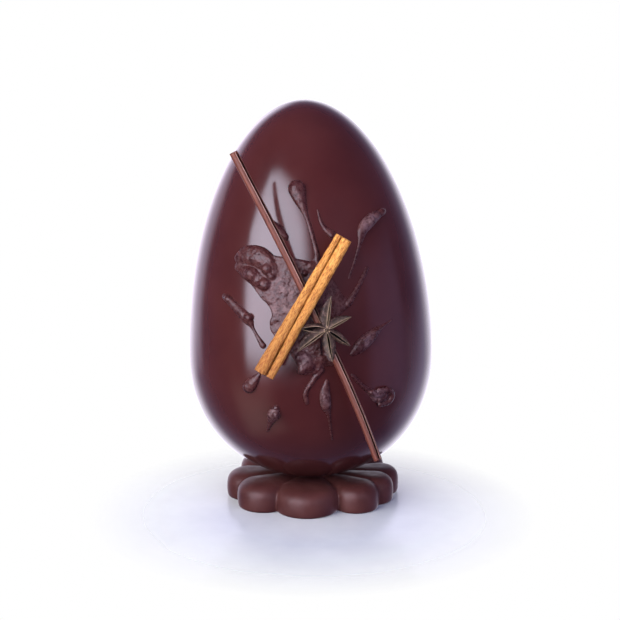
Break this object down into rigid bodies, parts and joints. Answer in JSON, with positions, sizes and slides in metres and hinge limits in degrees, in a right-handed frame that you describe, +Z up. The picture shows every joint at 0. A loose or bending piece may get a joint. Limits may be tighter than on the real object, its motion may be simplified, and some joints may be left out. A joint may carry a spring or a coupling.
{
  "type": "chocolate egg",
  "caption": "Glossy dark chocolate egg standing upright on a moulded flower of chocolate, its front dressed with a chocolate splash, a chocolate stick, a cinnamon stick and a star anise.",
  "frame": {"origin": "middle of the flower base's flat underside, where the egg stands", "axes": "+Z up along the standing egg; the dressed front faces -Y; +X to the right as seen from the front"},
  "size_m": [0.1269, 0.1454, 0.2101],
  "materials": {
    "shell_chocolate": "smooth tempered dark chocolate with a soft gloss",
    "base_chocolate": "satin moulded dark chocolate",
    "splash_chocolate": "set poured chocolate, uneven, from glossy to satin",
    "stick_chocolate": "rolled chocolate, finely streaked and nearly matte",
    "cinnamon_bark": "dry rolled bark with a fine long grain",
    "anise_pod": "dry wrinkled seed pods with paler lips"
  },
  "bodies": {
    "root": {"egg": "shell_chocolate", "flower_base": "base_chocolate", "splash": "splash_chocolate", "drop_thorn": "splash_chocolate", "drop_right_high": "splash_chocolate", "drop_right_leaf": "splash_chocolate", "drop_right_low": "splash_chocolate", "drop_low_leaf": "splash_chocolate", "drop_low_left": "splash_chocolate", "drop_left_low": "splash_chocolate", "drop_left_long": "splash_chocolate", "drop_fin": "splash_chocolate", "chocolate_stick": "stick_chocolate", "cinnamon_stick": "cinnamon_bark", "star_anise": "anise_pod"}
  },
  "joints": []
}
